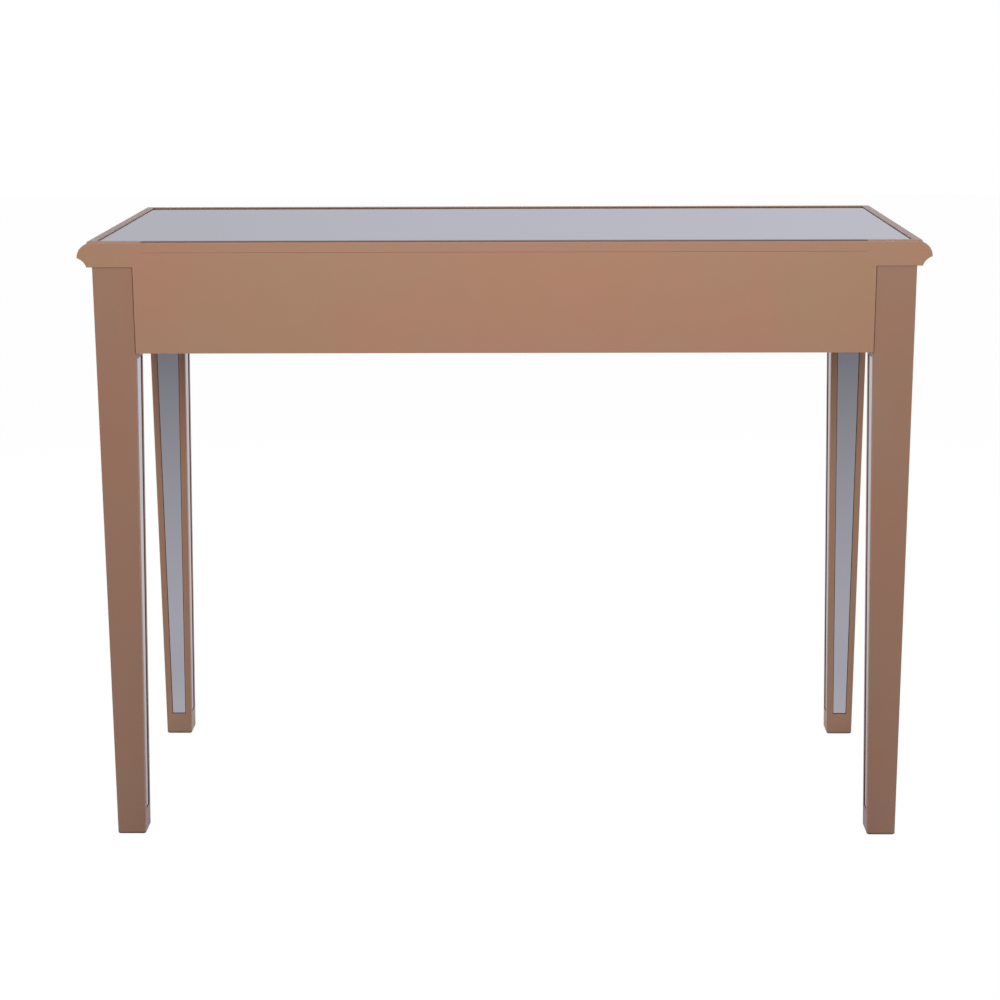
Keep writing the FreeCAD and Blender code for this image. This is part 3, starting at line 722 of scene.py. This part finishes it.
@dataclass(frozen=True)
class Lamp:
    """A soft rectangular lamp."""

    name: str
    place: tuple[float, float, float]
    aim: tuple[float, float, float]
    size: tuple[float, float]
    power: float
    colour: Colour = (1.0, 1.0, 1.0)

    def build(self) -> None:
        """Makes the lamp."""
        data = bpy.data.lights.new(self.name, "AREA")
        data.shape = "RECTANGLE"
        data.size, data.size_y = self.size
        data.energy = self.power
        data.color = self.colour
        lamp = bpy.data.objects.new(self.name, data)
        lamp.location = self.place
        way = Vector(self.aim) - Vector(self.place)
        lamp.rotation_euler = way.to_track_quat("-Z", "Y").to_euler()
        lamp.visible_glossy = False
        bpy.context.scene.collection.objects.link(lamp)


@dataclass(frozen=True)
class Viewpoint:
    """The camera, behind the table and a little above its top."""

    place: tuple[float, float, float] = (-0.0354, 2.926, 1.0905)
    turn: float = math.radians(-0.868)
    dip: float = math.radians(-13.234)
    roll: float = math.radians(-0.238)
    focal: float = 2.1679
    sensor: float = 36.0

    def build(self) -> None:
        """Makes the camera and sets it as the scene's."""
        data = bpy.data.cameras.new("viewpoint")
        data.sensor_width = self.sensor
        data.lens = self.focal * self.sensor
        data.clip_end = 60.0
        level = math.cos(self.dip)
        forward = Vector((-math.sin(self.turn) * level, -math.cos(self.turn) * level, math.sin(self.dip)))
        right = Vector((-math.cos(self.turn), math.sin(self.turn), 0.0))
        up = right.cross(forward)
        tilted_right = right * math.cos(self.roll) + up * math.sin(self.roll)
        tilted_up = up * math.cos(self.roll) - right * math.sin(self.roll)
        basis = Matrix((tilted_right, tilted_up, -forward)).transposed()
        camera = bpy.data.objects.new("viewpoint", data)
        camera.matrix_world = Matrix.Translation(self.place) @ basis.to_4x4()
        bpy.context.scene.collection.objects.link(camera)
        bpy.context.scene.camera = camera


@dataclass(frozen=True)
class Studio:
    """A pale floor, a white surround, soft lamps, and painted reflections that only mirrored rays see."""

    floor_reach: float = 9.0
    floor_glow: float = 0.985
    # The floor shows mirrored rays only a painted reflection, darker further behind the table and lighter ahead of it.
    mirrored_reach: tuple[float, float] = (0.4, 3.2)
    mirrored_ahead: Colour = (0.56, 0.53, 0.55)
    mirrored_near: Colour = (0.395, 0.39, 0.44)
    mirrored_far: Colour = (0.13, 0.13, 0.15)
    floor_colour: Colour = (0.22, 0.22, 0.22)
    surround: Colour = (0.12, 0.12, 0.13)
    # Painted reflection colours that only mirrored rays see in the world; they give no diffuse light.
    room_left: Colour = (0.465, 0.473, 0.520)
    room_right: Colour = (0.530, 0.530, 0.592)
    room_behind: Colour = (0.20, 0.20, 0.22)
    room_above: Colour = (0.78, 0.78, 0.80)
    lamps: tuple[Lamp, ...] = (
        Lamp("overhead", (0.1, 0.0, 2.4), (0.0, 0.0, 0.5), (2.0, 1.2), 4.0),
        Lamp("back_fill", (-0.05, 1.65, 1.2), (0.0, 0.2, 0.78), (2.2, 0.6), 34.0),
        Lamp("front_fill", (0.1, -2.1, 1.35), (0.0, 0.0, 0.6), (2.4, 1.0), 62.0),
        Lamp("left_fill", (-2.3, 0.0, 1.3), (0.0, 0.0, 0.6), (1.2, 1.0), 36.0),
        Lamp("right_fill", (2.3, 0.0, 1.3), (0.0, 0.0, 0.6), (1.2, 1.0), 36.0),
    )

    def build(self) -> None:
        """Makes the floor, the surround and the lamps."""
        self.make_floor()
        self.make_surround()
        for lamp in self.lamps:
            lamp.build()
        settings = bpy.context.scene.view_settings
        settings.view_transform = "Standard"

    def ray_masks(self, nodes: Nodes) -> tuple[bpy.types.NodeSocket, bpy.types.NodeSocket]:
        """Masks of the rays that show the background.

        Args:
            nodes: The tree's node helper.

        Returns:
            The mask of camera rays, and that of mirrored and refracted rays.
        """
        path = nodes.add("LightPath")
        shown = path.outputs["Is Camera Ray"]
        mirrored = nodes.math("MAXIMUM", path.outputs["Is Glossy Ray"], path.outputs["Is Transmission Ray"])
        return shown, mirrored

    def make_floor(self) -> None:
        """Makes the floor, which looks white, keeps a faint shadow, and shows mirrored rays a painted reflection that
        darkens behind the table.
        """
        mesh = bpy.data.meshes.new("floor")
        reach = self.floor_reach
        corners = [(-reach, -reach, 0), (reach, -reach, 0), (reach, reach, 0), (-reach, reach, 0)]
        mesh.from_pydata(corners, [], [(0, 1, 2, 3)])
        floor = bpy.data.objects.new("floor", mesh)
        bpy.context.scene.collection.objects.link(floor)
        material, nodes, shader = new_material("pale_floor")
        nodes.set(shader.inputs["Roughness"], 0.9)
        nodes.set(shader.inputs["Specular IOR Level"], 0.0)
        shown, mirrored = self.ray_masks(nodes)
        nodes.set(shader.inputs["Base Color"], nodes.blend(shown, self.floor_colour, WHITE))
        # For mirrored rays the floor emits a grey that changes with position: a painted reflection, not a lamp.
        place = nodes.add("SeparateXYZ", Vector=nodes.add("NewGeometry").outputs["Position"])
        behind = nodes.spread(place.outputs["Y"], *self.mirrored_reach, 0.0, 1.0)
        ahead = nodes.spread(place.outputs["Y"], 0.1, -0.9, 0.0, 1.0)
        floor_painted_reflection = nodes.blend(behind, nodes.blend(ahead, self.mirrored_near, self.mirrored_ahead), self.mirrored_far)
        light = nodes.add("Emission", Color=nodes.blend(shown, floor_painted_reflection, WHITE))
        factor = nodes.math("MAXIMUM", nodes.math("MULTIPLY", shown, self.floor_glow), mirrored)
        mix = nodes.add("MixShader", Fac=factor)
        nodes.set(mix.inputs[1], shader.outputs[0])
        nodes.set(mix.inputs[2], light.outputs[0])
        output = nodes.tree.nodes["Material Output"]
        nodes.set(output.inputs["Surface"], mix.outputs[0])
        mesh.materials.append(material)

    def make_surround(self) -> None:
        """Makes the world: white to look at, dim grey for diffuse rays, and for mirrored rays a painted reflection of
        grey surroundings, brighter above.
        """
        world = bpy.data.worlds.new("studio_surround")
        bpy.context.scene.world = world
        world.use_nodes = True
        nodes = Nodes(world.node_tree)
        background = world.node_tree.nodes["Background"]
        shown, mirrored = self.ray_masks(nodes)
        # Mirrored rays see grey sides, darker behind and brighter above: a painted reflection, which gives no diffuse
        # light.
        way = nodes.add("SeparateXYZ", Vector=nodes.add("TexCoord").outputs["Generated"])
        across = nodes.spread(way.outputs["X"], 0.15, -0.15, 0.0, 1.0)
        depth = nodes.spread(way.outputs["Y"], -1.0, 1.0, 0.0, 1.0)
        painted_reflection_sides = nodes.blend(depth, nodes.blend(across, self.room_left, self.room_right), self.room_behind)
        height = nodes.spread(way.outputs["Z"], 0.34, 0.8, 0.0, 1.0)
        painted_reflection_surroundings = nodes.blend(height, painted_reflection_sides, self.room_above)
        colour = nodes.blend(shown, nodes.blend(mirrored, self.surround, painted_reflection_surroundings), WHITE)
        nodes.set(background.inputs["Color"], colour)


def main() -> None:
    """Builds the studio and every sub-assembly of the table."""
    logging.basicConfig(level=logging.INFO, format="%(message)s")
    Viewpoint().build()
    Studio().build()
    finishes = Finishes(Groups())
    for kind in (TableTop, Legs, Aprons, Supports, Drawers):
        assembly = kind(finishes)
        assembly.build()
        LOG.info("%s: %d pieces", kind.__name__, len(assembly.pieces))


if __name__ == "__main__":
    main()
